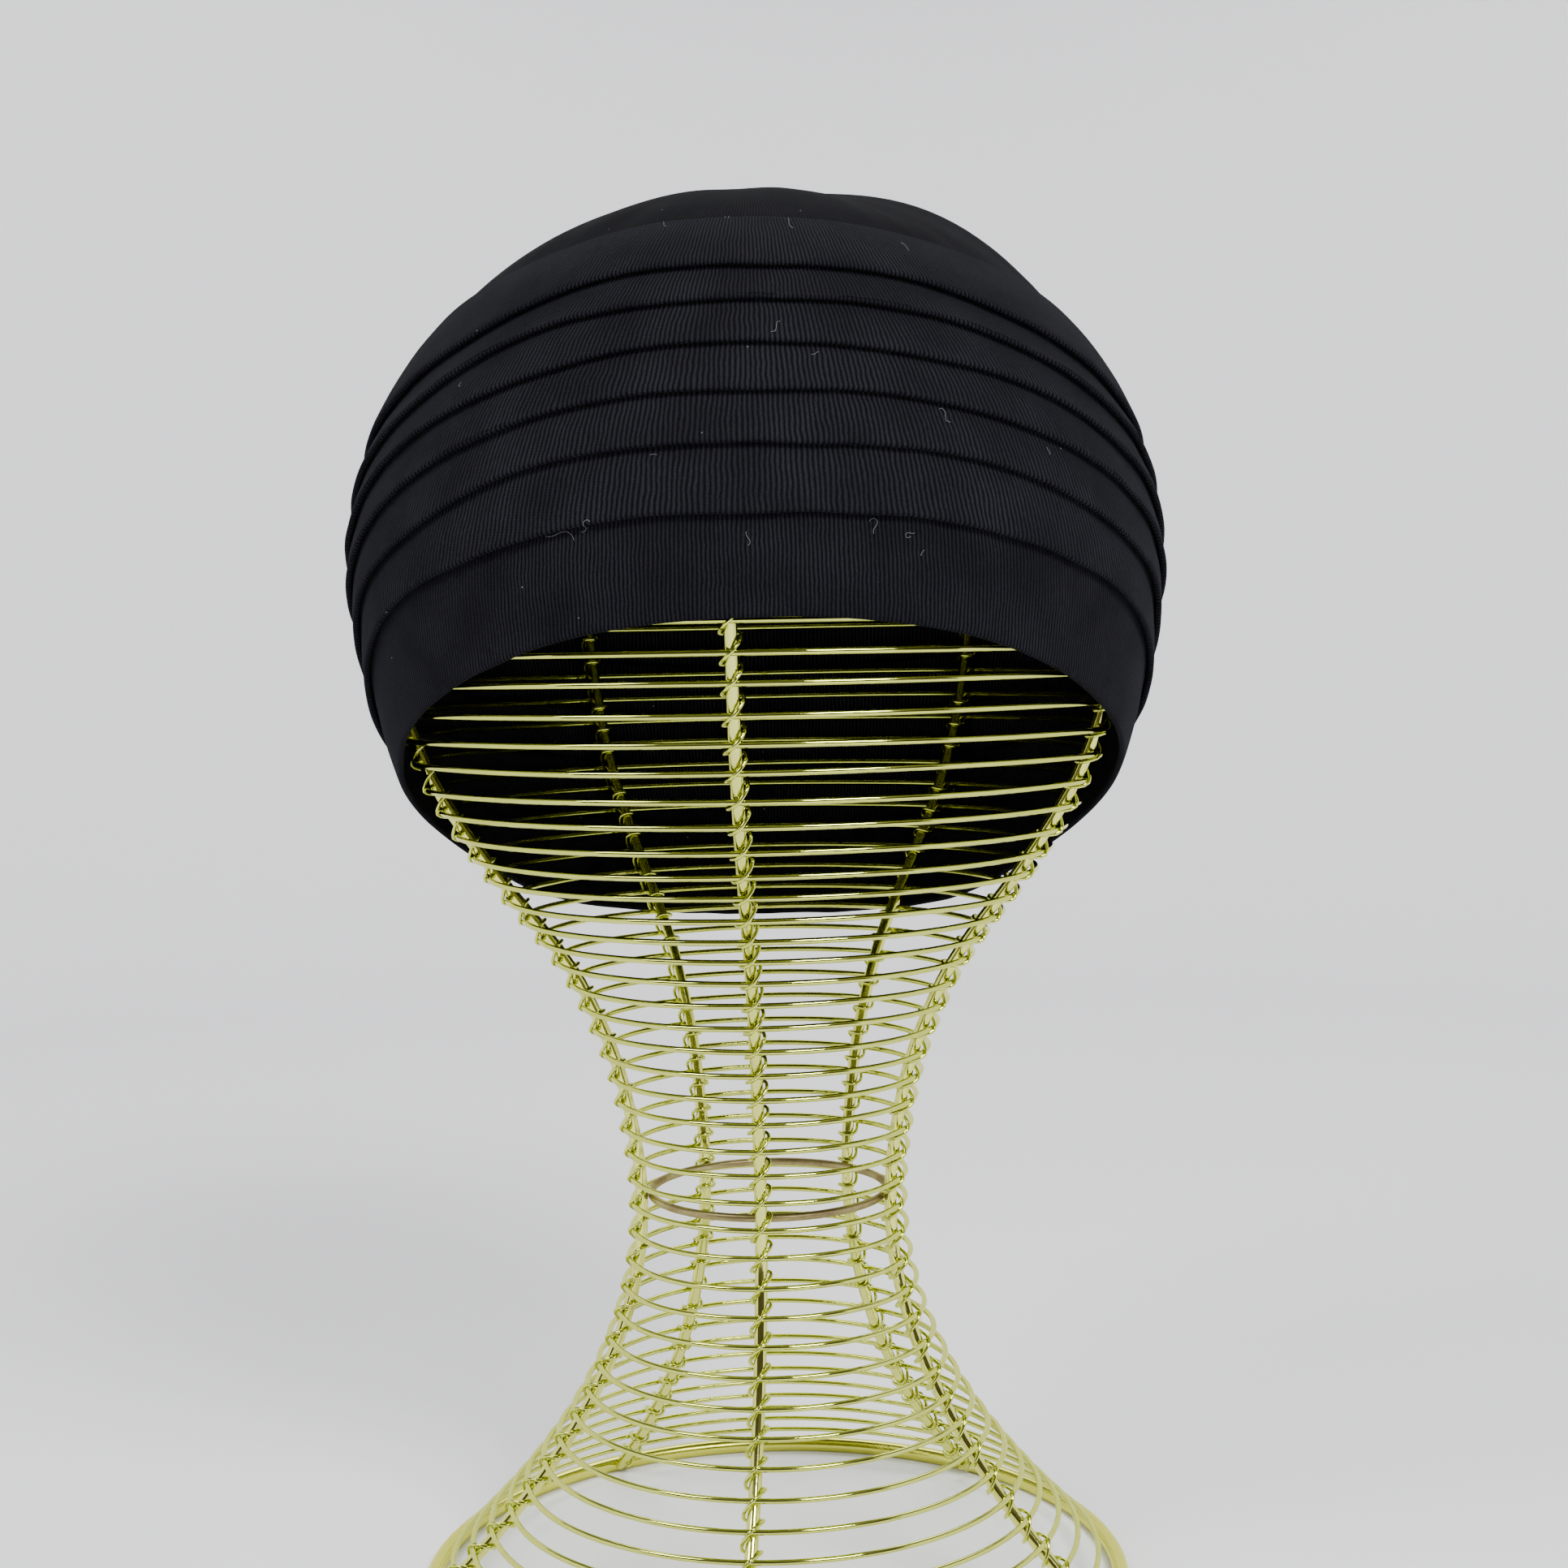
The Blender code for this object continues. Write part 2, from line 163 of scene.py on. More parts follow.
WIDEST_HEIGHT = STAND_HEIGHT - DOME_HEIGHT
HEAD_HEIGHT = WIDEST_HEIGHT - NECK_HEIGHT
FOOT_HEIGHT = FOOT_WIRE / 2
FOOT_REACH = FOOT_RING_RADIUS - (FOOT_WIRE + ROD_WIRE) / 4
WIRE_REACH = ROD_WIRE / 2 + HOOP_WIRE
STEP = CLOTH + LAYER_GAP
BED = WIRE_REACH + SEAT_GAP + CLOTH
CROWN_SEAM = len(FOLDS) - 1
LAST_TIER = CROWN_SEAM - 1
FOOT_STATION = (FOOT_HEIGHT - WIDEST_HEIGHT) / DOME_HEIGHT
NECK_STATION = (NECK_HEIGHT - WIDEST_HEIGHT) / DOME_HEIGHT
TOP_STATION = pi / 2 - asin(TOP_RING_RADIUS / CAGE_RADIUS)


def cubic(before, start, end, after, share):
    bend = 2 * before - 5 * start + 4 * end - after
    twist = 3 * (start - end) + after - before
    return start + 0.5 * share * (end - before + share * (bend + share * twist))


def head_flare(height_share):
    last = len(HEAD_RISE) - 1
    row = 0
    while row < last - 1 and HEAD_RISE[row + 1].height < height_share:
        row += 1
    low, high = HEAD_RISE[row], HEAD_RISE[row + 1]
    span = high.height - low.height
    share = (height_share - low.height) / span
    slopes = []
    for middle in (row, row + 1):
        if middle in (0, last):
            slopes.append(0.0)
            continue
        under, over = HEAD_RISE[middle - 1], HEAD_RISE[middle + 1]
        slopes.append((over.flare - under.flare) / (over.height - under.height) * span)
    square, cube = share ** 2, share ** 3
    return (
        (2 * cube - 3 * square + 1) * low.flare
        + (cube - 2 * square + share) * slopes[0]
        + (3 * square - 2 * cube) * high.flare
        + (cube - square) * slopes[1]
    )


def cage_radius(height):
    if height >= NECK_HEIGHT:
        share = min(1.0, (height - NECK_HEIGHT) / HEAD_HEIGHT)
        return NECK_RADIUS + (CAGE_RADIUS - NECK_RADIUS) * head_flare(share)
    fall = (NECK_HEIGHT - height) / (NECK_HEIGHT - FOOT_HEIGHT)
    return NECK_RADIUS + (FOOT_REACH - NECK_RADIUS) * fall ** 2


def rod_bearing(rod, height):
    """A rod's bearing at a height, in radians."""
    if height < NECK_HEIGHT:
        start, end, share = rod.foot, rod.neck, height / NECK_HEIGHT
    else:
        start, end, share = rod.neck, rod.head, min(1.0, (height - NECK_HEIGHT) / HEAD_HEIGHT)
    return radians(start + (end - start) * share)


def on_cage(station):
    if station > 0:
        return CAGE_RADIUS * cos(station), WIDEST_HEIGHT + DOME_HEIGHT * sin(station)
    height = WIDEST_HEIGHT + DOME_HEIGHT * station
    return cage_radius(height), height


def cage_frame(station):
    """Point of the profile and its unit normal, as (radius, height) pairs."""
    nudge = 0.004
    radius, height = on_cage(station)
    low_radius, low_height = on_cage(station - nudge)
    high_radius, high_height = on_cage(min(station + nudge, pi / 2))
    rise, spread = high_height - low_height, high_radius - low_radius
    length = hypot(rise, spread)
    return radius, height, rise / length, -spread / length


def off_cage(station, offset):
    radius, height, out, up = cage_frame(station)
    return radius + offset * out, height + offset * up


def station_of(level):
    """Station under a point of the cloth at a level."""
    goal = WIDEST_HEIGHT + DOME_HEIGHT * level
    aim = level
    for _ in range(LEVEL_STEPS):
        aim += (goal - off_cage(clean_station(aim), CLOTH_REACH)[1]) / DOME_HEIGHT
    return clean_station(aim)


def clean_station(aim):
    return asin(min(1.0, aim)) if aim > 0 else aim


def fold_station(row, bearing):
    levels = FOLDS[row][1:]
    last = len(levels) - 1
    place = abs((bearing + pi) % (2 * pi) - pi) / BEARING_STEP
    cell = min(int(place), last - 1)
    mirrored = [levels[abs(i) if i <= last else 2 * last - i] for i in range(cell - 1, cell + 3)]
    level = cubic(*mirrored, place - cell) - TILT * sin(bearing + TURN)
    return station_of(level) + fold_wave(row, bearing)


def fold_wave(row, bearing):
    """Small uneven rise and fall of a fold line."""
    spot = Vector((2.2 * cos(bearing), 2.2 * sin(bearing), 3.7 * row))
    fine = Vector((7.0 * cos(bearing), 7.0 * sin(bearing), 5.1 * row + 40.0))
    return FOLD_WAVE * noise.noise(spot) + FOLD_RIPPLE * noise.noise(fine)


def polar(radius, height, bearing):
    return Vector((radius * sin(bearing), -radius * cos(bearing), height))


def tier_offset(row, share):
    row_slack = FOLDS[row].slack
    next_slack = FOLDS[min(row + 1, len(FOLDS) - 1)].slack
    slack = SLACK * (row_slack + (next_slack - row_slack) * share)
    if row == LAST_TIER:
        step = STEP
    else:
        step = STEP * (1 - share) * (row > 0)
    return BED + slack + step + PUFF * sin(pi * share ** PUFF_LEAN)


def swell(station, bearing):
    """Broad soft swellings and drawn lines that all the cloth shares."""
    radius, height = on_cage(station)
    x, y = radius * sin(bearing), -radius * cos(bearing)
    broad = noise.noise(Vector((x * 22, y * 22, height * 30)))
    drawn = noise.noise(Vector((x * 34, y * 34, height * 170)))
    return BROAD_SWELL * broad + DRAWN_SWELL * drawn


def skin(name, rows, wales, material):
    """Closed cloth skin from sections at even bearings. The map counts wales and millimetres."""
    around, along = len(rows), len(rows[0])
    points = [point for row in rows for point in row]
    faces = []
    for i in range(around):
        j = (i + 1) % around
        for k in range(along):
            n = (k + 1) % along
            faces.append((i * along + k, i * along + n, j * along + n, j * along + k))
    data = bpy.data.meshes.new(name)
    data.from_pydata(points, [], faces)
    paths = []
    for row in rows:
        path = [0.0]
        for k in range(along):
            path.append(path[-1] + (row[(k + 1) % along] - row[k]).length * 1000)
        paths.append(path)
    layer = data.uv_layers.new(name="knit")
    place = 0
    for i in range(around):
        near, far = paths[i], paths[(i + 1) % around]
        left, right = i * wales / around, (i + 1) * wales / around
        for k in range(along):
            corners = ((left, near[k]), (left, near[k + 1]), (right, far[k + 1]), (right, far[k]))
            for corner in corners:
                layer.data[place].uv = corner
                place += 1
    return add_piece(name, data, material)


def add_piece(name, data, material):
    data.materials.append(material)
    if hasattr(data, "shade_smooth"):
        data.shade_smooth()
    piece = bpy.data.objects.new(name, data)
    bpy.context.scene.collection.objects.link(piece)
    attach(piece, "root")
    return piece


def add_wires(name, paths, radius, sides, material, closed):
    """Round wires along point lists, as one curve piece."""
    data = bpy.data.curves.new(name, "CURVE")
    data.dimensions = "3D"
    data.bevel_depth = radius
    data.bevel_resolution = max(0, sides // 2 - 2)
    data.use_fill_caps = True
    for path in paths:
        spline = data.splines.new("POLY")
        spline.points.add(len(path) - 1)
        for point, place in zip(spline.points, path):
            point.co = (*place, 1.0)
        spline.use_cyclic_u = closed
        spline.use_smooth = True
    data.materials.append(material)
    piece = bpy.data.objects.new(name, data)
    bpy.context.scene.collection.objects.link(piece)
    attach(piece, "root")
    return piece


# Materials


def new_material(name):
    material = bpy.data.materials.new(name)
    material.use_nodes = True
    return material, material.node_tree.nodes["Principled BSDF"]


class Nodes:
    """Short calls that add and link shader nodes."""

    def __init__(self, material):
        self.tree = material.node_tree

    def add(self, kind, settings=(), **inputs):
        node = self.tree.nodes.new(kind)
        for key, value in settings:
            setattr(node, key, value)
        for key, value in inputs.items():
            socket = node.inputs[int(key[1:])] if key[0] == "i" and key[1:].isdigit() else node.inputs[key]
            self.put(socket, value)
        return node

    def put(self, socket, value):
        if isinstance(value, bpy.types.NodeSocket):
            self.tree.links.new(value, socket)
        else:
            socket.default_value = value

    def math(self, operation, first, second=0.0, third=0.0):
        inputs = {"i0": first, "i1": second, "i2": third}
        return self.add("ShaderNodeMath", [("operation", operation)], **inputs).outputs[0]

    def noise(self, scale, detail):
        place = self.add("ShaderNodeTexCoord").outputs["Object"]
        return self.add("ShaderNodeTexNoise", Vector=place, Scale=scale, Detail=detail).outputs["Fac"]

    def blend(self, factor, first, second):
        node = self.add("ShaderNodeMix", [("data_type", "RGBA")])
        self.put(node.inputs[0], factor)
        self.put(node.inputs[6], first)
        self.put(node.inputs[7], second)
        return node.outputs[2]

    def spread(self, value, low, high, out_low=0.0, out_high=1.0):
        return self.add(
            "ShaderNodeMapRange",
            **{"Value": value, "From Min": low, "From Max": high, "To Min": out_low, "To Max": out_high},
        ).outputs[0]


# The knit: its map counts wales and millimetres, and noise scales are for each metre
COURSE_PITCH = 0.62
WALE_DRIFT = 1.2
UNEVEN_SCALE = 160.0
FUZZ_SCALE = 2600.0
RIB_CONTRAST_SCALE = 70.0
SPECK_SCALE = 420.0
SPECK_REACH = 0.075
SPECK_RARITY = 0.975


def jersey_material(name, rib, tone):
    """Fine-rib jersey: rib is its depth in metres, tone scales its colour. Its colour holds painted light:
    the rib tops are painted lighter as painted highlight, the grooves darker as painted shade.
    """
    material, shader = new_material(name)
    n = Nodes(material)
    uv = n.add("ShaderNodeUVMap", [("uv_map", "knit")]).outputs[0]
    parts = n.add("ShaderNodeSeparateXYZ", Vector=uv)
    across, along = parts.outputs[0], parts.outputs[1]
    uneven = n.noise(UNEVEN_SCALE, 3.0)
    drift = n.math("MULTIPLY_ADD", uneven, WALE_DRIFT, across)
    wale = n.math("SINE", n.math("MULTIPLY", drift, 2 * pi))
    wale = n.math("MULTIPLY_ADD", wale, 0.5, 0.5)
    slant = n.math("MULTIPLY", drift, pi)
    course = n.math("SINE", n.math("MULTIPLY_ADD", along, 2 * pi / COURSE_PITCH, slant))
    course = n.math("MULTIPLY_ADD", course, 0.5, 0.5)
    fuzz = n.noise(FUZZ_SCALE, 2.0)
    # soft noise that varies the ribs' depth and the strength of their painted highlight and shade
    rib_contrast = n.spread(n.noise(RIB_CONTRAST_SCALE, 3.0), 0.35, 0.65, 0.6, 1.0)
    height = n.math("MULTIPLY", wale, rib_contrast)
    height = n.math("MULTIPLY_ADD", course, 0.25, height)
    height = n.math("MULTIPLY_ADD", fuzz, 0.6, height)
    bump = n.add("ShaderNodeBump", Strength=0.9, Distance=rib, Height=height)
    n.put(shader.inputs["Normal"], bump.outputs[0])
    # painted shade and highlight: the near-black cloth's colour runs from dark in the grooves between wales
    # to pale on the rib tops
    dark = (0.0015 * tone, 0.0015 * tone, 0.0024 * tone, 1.0)
    pale = (0.0130 * tone, 0.0130 * tone, 0.0165 * tone, 1.0)
    # share of painted rib highlight, set by the rib tops, the soft noise and the fuzz's random tone
    light = n.math("MULTIPLY", n.math("MULTIPLY", wale, rib_contrast), n.math("MULTIPLY_ADD", fuzz, 0.8, 0.45))
    colour = n.blend(light, dark, pale)
    place = n.add("ShaderNodeTexCoord").outputs["Object"]
    specks = n.add("ShaderNodeTexVoronoi", Vector=place, Scale=SPECK_SCALE)
    chosen = n.add("ShaderNodeSeparateColor", Color=specks.outputs["Color"]).outputs[0]
    near = n.math("LESS_THAN", specks.outputs["Distance"], n.math("MULTIPLY", chosen, SPECK_REACH))
    rare = n.math("GREATER_THAN", chosen, SPECK_RARITY)
    fleck = n.math("MULTIPLY", n.math("MULTIPLY", near, rare), 0.7)
    colour = n.blend(fleck, colour, (0.20, 0.20, 0.21, 1.0))
    n.put(shader.inputs["Base Color"], colour)
    shader.inputs["Roughness"].default_value = 0.95
    shader.inputs["Specular IOR Level"].default_value = 0.035
    shader.inputs["Sheen Weight"].default_value = 0.009
    shader.inputs["Sheen Roughness"].default_value = 0.45
    shader.inputs["Sheen Tint"].default_value = (0.55, 0.57, 0.68, 1.0)
    return material


def gold_material(name, clean, tarnish, roughness, patchy):
    """Pale gold plating with fine drawing marks and soft cloudy tarnish."""
    material, shader = new_material(name)
    n = Nodes(material)
    cloud = n.noise(90.0, 4.0)
    marks = n.noise(900.0, 3.0)
    amount = n.spread(n.math("MULTIPLY_ADD", marks, 0.35, cloud), 0.95 - patchy, 1.15 - patchy * 0.4)
    n.put(shader.inputs["Base Color"], n.blend(amount, clean, tarnish))
    n.put(shader.inputs["Roughness"], n.spread(cloud, 0.3, 0.75, roughness, roughness * 1.9))
    shader.inputs["Specular Tint"].default_value = (0.97, 0.97, 0.62, 1.0)
    bump = n.add("ShaderNodeBump", Strength=0.25, Distance=0.00010, Height=n.noise(420.0, 2.0))
    n.put(shader.inputs["Normal"], bump.outputs[0])
    shader.inputs["Metallic"].default_value = 1.0
    return material


def plain_material(name, colour, roughness):
    material, shader = new_material(name)
    shader.inputs["Base Color"].default_value = (*colour, 1.0)
    shader.inputs["Roughness"].default_value = roughness
    return material


GOLD = gold_material("pale_gold", (0.58, 0.62, 0.13, 1.0), (0.40, 0.40, 0.09, 1.0), 0.055, 0.12)
ROD_GOLD = gold_material("rod_gold", (0.68, 0.70, 0.17, 1.0), (0.44, 0.38, 0.14, 1.0), 0.07, 0.18)
FOOT_GOLD = gold_material("foot_gold", (0.66, 0.66, 0.10, 1.0), (0.52, 0.49, 0.09, 1.0), 0.16, 0.15)
NECK_GOLD = gold_material("neck_patina", (0.44, 0.38, 0.18, 1.0), (0.20, 0.13, 0.08, 1.0), 0.26, 0.45)
BAND_JERSEY = jersey_material("band_jersey", 0.00012, 1.0)
PLEAT_JERSEY = jersey_material("pleat_jersey", 0.00018, 1.2)
CROWN_JERSEY = jersey_material("crown_jersey", 0.00006, 0.6)


# Camera, floor and light


def make_camera():
    data = bpy.data.cameras.new("camera")
    data.lens = CAMERA_LENS
    data.sensor_width = 36.0
    data.clip_start = 0.01
    camera = bpy.data.objects.new("camera", data)
    turn = Matrix.Rotation(CAMERA_PITCH, 4, "X") @ Matrix.Rotation(CAMERA_ROLL, 4, "Z")
    camera.matrix_world = Matrix.Translation(CAMERA_PLACE) @ turn
    bpy.context.scene.collection.objects.link(camera)
    bpy.context.scene.camera = camera


make_camera()

FLOOR_RADIUS = 0.95
BEND_RADIUS = 0.45
WALL_HEIGHT = 1.0


def make_studio():
    """A round pale floor that curves up into a low wall all round."""
    profile = [(0.0005, 0.0), (0.25, 0.0), (0.5, 0.0), (0.75, 0.0)]
    steps = 16
    for i in range(steps + 1):
        angle = pi / 2 * i / steps
        profile.append((FLOOR_RADIUS + BEND_RADIUS * sin(angle), BEND_RADIUS * (1 - cos(angle))))
    profile.append((FLOOR_RADIUS + BEND_RADIUS, WALL_HEIGHT))
    around = 96
    points = [polar(r, z, 2 * pi * i / around) for i in range(around) for r, z in profile]
    count = len(profile)
    faces = []
    for i in range(around):
        j = (i + 1) % around
        for k in range(count - 1):
            faces.append((i * count + k, j * count + k, j * count + k + 1, i * count + k + 1))
    faces.append([i * count for i in range(around)])
    data = bpy.data.meshes.new("studio")
    data.from_pydata(points, [], faces)
    data.shade_smooth()
    data.materials.append(plain_material("studio_paper", (0.84, 0.84, 0.855), 0.9))
    studio = bpy.data.objects.new("studio", data)
    bpy.context.scene.collection.objects.link(studio)


make_studio()

FLAG_RADIUS = 0.90
FLAG_SPREAD = radians(58.0)
FLAG_LOW, FLAG_HIGH = 0.002, 0.80


def make_flag():
    """A dark band round the front of the room, seen only as a dark line in the bright wires."""
    cuts = 24
    points = []
    for i in range(cuts + 1):
        bearing = FLAG_SPREAD * (2 * i / cuts - 1)
        points += [polar(FLAG_RADIUS, FLAG_LOW, bearing), polar(FLAG_RADIUS, FLAG_HIGH, bearing)]
    faces = [(2 * i, 2 * i + 1, 2 * i + 3, 2 * i + 2) for i in range(cuts)]
    data = bpy.data.meshes.new("flag")
    data.from_pydata(points, [], faces)
    data.materials.append(plain_material("flag_cloth", (0.050, 0.042, 0.032), 1.0))
    flag = bpy.data.objects.new("flag", data)
    flag.visible_camera = flag.visible_diffuse = flag.visible_shadow = flag.visible_transmission = False
    bpy.context.scene.collection.objects.link(flag)


make_flag()

LIGHT_AIM = Vector((0.0, 0.0, 0.2))


def add_softbox(name, place, size, power):
    data = bpy.data.lights.new(name, "AREA")
    data.shape = "RECTANGLE"
    data.size, data.size_y = size
    data.energy = power
    lamp = bpy.data.objects.new(name, data)
    lamp.location = place
    lamp.rotation_mode = "QUATERNION"
    lamp.rotation_quaternion = (LIGHT_AIM - Vector(place)).to_track_quat("-Z", "Y")
    bpy.context.scene.collection.objects.link(lamp)


add_softbox("key", (0.55, -0.95, 1.05), (0.5, 0.35), 25.0)
add_softbox("fill", (-0.9, -0.6, 1.15), (0.5, 0.5), 11.5)
add_softbox("back", (0.1, 0.9, 1.3), (1.2, 0.6), 11.0)

world = bpy.data.worlds.new("room")
world.use_nodes = True
sky = world.node_tree.nodes["Background"]
sky.inputs["Color"].default_value = (0.20, 0.21, 0.22, 1.0)
sky.inputs["Strength"].default_value = 1.1
bpy.context.scene.world = world


# Cloth

LIP_RISE = 0.00045          # soft lip along a folded edge
LIP_REACH = 0.16            # share of the tier over which it fades
EDGE_FULLNESS = 1.45        # thickness of a folded edge, as a multiple of CLOTH
SEAM_RISE = 0.0006          # the last tier's edge, rolled over at the crown's seam
SEAM_DROP = 0.0007
SEAM_STEPS = 4


def tier_skin_offset(row, share, bearing, station):
    """The tier's outside with the soft lip that a folded edge keeps."""
    lip = LIP_RISE * exp(-(share / LIP_REACH) ** 2)
    return tier_offset(row, share) + lip + swell(station, bearing)


OUTSIDE_SHARES = [
    0.05, 0.07, 0.1, 0.15, 0.21, 0.28, 0.36, 0.45, 0.54, 0.63, 0.72, 0.8, 0.87, 0.93, 0.97, 1.0
]
TUCK_STEPS = 4
ROLL_STEPS = 7
INSIDE_SHARES = [0.85, 0.65, 0.45, 0.3, 0.16, 0.06]


def tier_row(row, bearing):
    start = fold_station(row, bearing)
    end = fold_station(row + 1, bearing)
    reach = end - start
    section = []
    # The folded edge: half a turn from the inside round the bottom to the outside
    thick = CLOTH * EDGE_FULLNESS
    first = OUTSIDE_SHARES[0]
    outer = tier_skin_offset(row, first, bearing, start)
    middle = outer - thick / 2
    for i in range(ROLL_STEPS):
        angle = -pi / 2 + pi * i / (ROLL_STEPS - 1)
        lift = ROLL / DOME_HEIGHT * (1 - cos(angle))
        section.append((start + lift, middle + thick / 2 * sin(angle)))
    for share in OUTSIDE_SHARES[1:]:
        station = start + reach * share
        offset = tier_skin_offset(row, share, bearing, station)
        section.append((station, offset))
    inside = []
    if row < LAST_TIER:
        cover = fold_station(row + 2, bearing) - end
        for i in range(1, TUCK_STEPS + 1):
            share = TUCK_SHARE * TUCK_FILL * i / TUCK_STEPS
            station = end + cover * share
            blend = (i / TUCK_STEPS) ** 0.5
            offset = tier_offset(row + 1, share) - STEP + swell(station, bearing)
            flat = tier_offset(row, 1.0) + swell(station, bearing)
            section.append((station, offset * blend + flat * (1 - blend)))
            inside.append((station, section[-1][1] - CLOTH))
    else:
        # The last tier's upper edge rolls over where the crown is sewn to it
        for i in range(1, SEAM_STEPS + 1):
            angle = pi / 2 * i / SEAM_STEPS
            station = end + SEAM_RISE / DOME_HEIGHT * sin(angle)
            offset = tier_offset(row, 1.0) + swell(station, bearing) - SEAM_DROP * (1 - cos(angle))
            section.append((station, offset))
    for station, offset in inside[::-1]:
        section.append((station, offset))
    for share in INSIDE_SHARES:
        station = start + reach * share
        section.append((station, tier_offset(row, share) + swell(station, bearing) - CLOTH))
    return [polar(*off_cage(station, offset), bearing + TURN) for station, offset in section]


def make_tier(row, name, pitch, material):
    rows = [tier_row(row, 2 * pi * i / AROUND_CLOTH) for i in range(AROUND_CLOTH)]
    wales = round(2 * pi * CAGE_RADIUS / pitch)
    piece = skin(name + "_cloth", rows, wales, material)
    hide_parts(name)


PITCHES = (0.00085, 0.00105, 0.00105, 0.00112, 0.00112, 0.00105, 0.00112)
TIER_NAMES = ("brow_band", "pleat_1", "pleat_2", "pleat_3", "pleat_4", "pleat_5", "pleat_6")
for tier, tier_name in enumerate(TIER_NAMES):
    make_tier(tier, tier_name, PITCHES[tier], PLEAT_JERSEY if tier else BAND_JERSEY)


def gather_rise(bearing, share):
    total = 0.0
    for gather in CROWN_GATHERS:
        aside = (bearing - radians(gather.bearing) + pi) % (2 * pi) - pi
        total += gather.rise * exp(-(aside / radians(gather.spread)) ** 2)
    return GATHER * total * sin(pi * share) ** 2


def crown_crease(bearing, share):
    """Fine gathers that fan out from the seam and fade towards the top."""
    ring = Vector((4.2 * cos(bearing), 4.2 * sin(bearing), 2.0 * share))
    fine = Vector((11.0 * cos(bearing), 11.0 * sin(bearing), 1.5 * share + 9.0))
    fade = exp(-((share - 0.18) / 0.3) ** 2)
    return fade * (CREASE_DEPTH * noise.noise(ring) + FINE_CREASE_DEPTH * noise.noise(fine))


CROWN_STEPS = 30
CROWN_CROWDING = 1.1        # above 1, the steps crowd towards the seam
CROWN_DIP = 0.0002
CROWN_PITCH = 0.00125
POLE_GAP = 0.004            # small hole at the very top, in stations


def crown_offset(station, seam, bearing):
    ease = CROWN_EASE * min(1.0, (station - seam) / CROWN_LIFT)
    share = (station - seam) / (pi / 2 - seam)
    soft = min(1.0, share * 6)
    return BED + ease + gather_rise(bearing, share) + soft * crown_crease(bearing, share)


def crown_row(bearing):
    seam = fold_station(CROWN_SEAM, bearing)
    below = fold_station(LAST_TIER, bearing)
    rim = seam - (seam - below) * TUCK_SHARE
    rim_offset = tier_offset(LAST_TIER, 1 - TUCK_SHARE) - STEP
    seam_offset = BED - CROWN_DIP
    outside = [(rim, rim_offset + swell(rim, bearing)), (seam, seam_offset + swell(seam, bearing))]
    for i in range(1, CROWN_STEPS + 1):
        share = (i / CROWN_STEPS) ** CROWN_CROWDING
        station = seam + (pi / 2 - POLE_GAP - seam) * share
        offset = crown_offset(station, seam, bearing) + swell(station, bearing) * (1 - share)
        outside.append((station, offset))
    inside = [(station, offset - CLOTH) for station, offset in outside[::-1]]
    return [polar(*off_cage(s, o), bearing + TURN) for s, o in outside + inside]


def make_crown():
    rows = [crown_row(2 * pi * i / AROUND_CLOTH) for i in range(AROUND_CLOTH)]
    piece = skin("crown_cloth", rows, round(2 * pi * CAGE_RADIUS / CROWN_PITCH), CROWN_JERSEY)
    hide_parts("crown_cap")


make_crown()

# Lint: curled fibres lying on the cloth, by bearing and height
Fibre = namedtuple("Fibre", "bearing height length curl")
FIBRES = (
    Fibre(-25.6, 0.2568, 0.0046, 2.6),
    Fibre(-20.7, 0.2573, 0.0030, 4.2),
    Fibre(-0.5, 0.2564, 0.0022, 3.0),
    Fibre(14.6, 0.2556, 0.0042, 5.0),
    Fibre(19.2, 0.2550, 0.0026, 6.0),
    Fibre(26.3, 0.2789, 0.0030, 5.4),
    Fibre(20.3, 0.2511, 0.0014, 1.0),
    Fibre(9.7, 0.2940, 0.0022, 2.0),
    Fibre(-44.8, 0.2916, 0.0020, 3.0),
    Fibre(3.2, 0.2976, 0.0026, 3.4),
    Fibre(-12.2, 0.2725, 0.0012, 1.0),
    Fibre(41.7, 0.2729, 0.0016, 2.0),
    Fibre(-17.0, 0.3245, 0.0030, 2.0),
    Fibre(-4.0, 0.3262, 0.0022, 4.0),
    Fibre(9.0, 0.3262, 0.0026, 3.0),
    Fibre(31.0, 0.3205, 0.0020, 2.0),
    Fibre(128.0, 0.2440, 0.0034, 4.0),
    Fibre(-150.0, 0.2300, 0.0028, 3.0),
    Fibre(172.0, 0.2050, 0.0030, 5.0),
)
LINT_RADIUS = 0.00003
LINT_LIFT = 0.00008         # least height over the cloth, and the steps above it
LINT_LIFT_STEP = 0.0001
LINT_POINTS = 14
LINT_BEND = 1.5
LINT_SWING = 4.5
TURBAN_RADIUS = 0.098       # turns a fibre's sideways stride into degrees


def tier_at(bearing, station):
    """Row and share of the tier that shows at a station."""
    for row in range(LAST_TIER, -1, -1):
        start = fold_station(row, bearing)
        if station >= start:
            return row, (station - start) / (fold_station(row + 1, bearing) - start)
    return 0, 0.0


def on_cloth(bearing_deg, height, lift):
    """A point that far outside the cloth. Bearing and height are those of the photo."""
    bearing = radians(bearing_deg) - TURN
    level = (height - WIDEST_HEIGHT) / DOME_HEIGHT
    station = station_of(min(0.99, level))
    row, share = tier_at(bearing, station)
    if share > 1:
        offset = crown_offset(station, fold_station(CROWN_SEAM, bearing), bearing) + swell(station, bearing)
    else:
        offset = tier_skin_offset(row, max(share, 0.03), bearing, station)
    return polar(*off_cage(station, offset + lift), bearing + TURN)


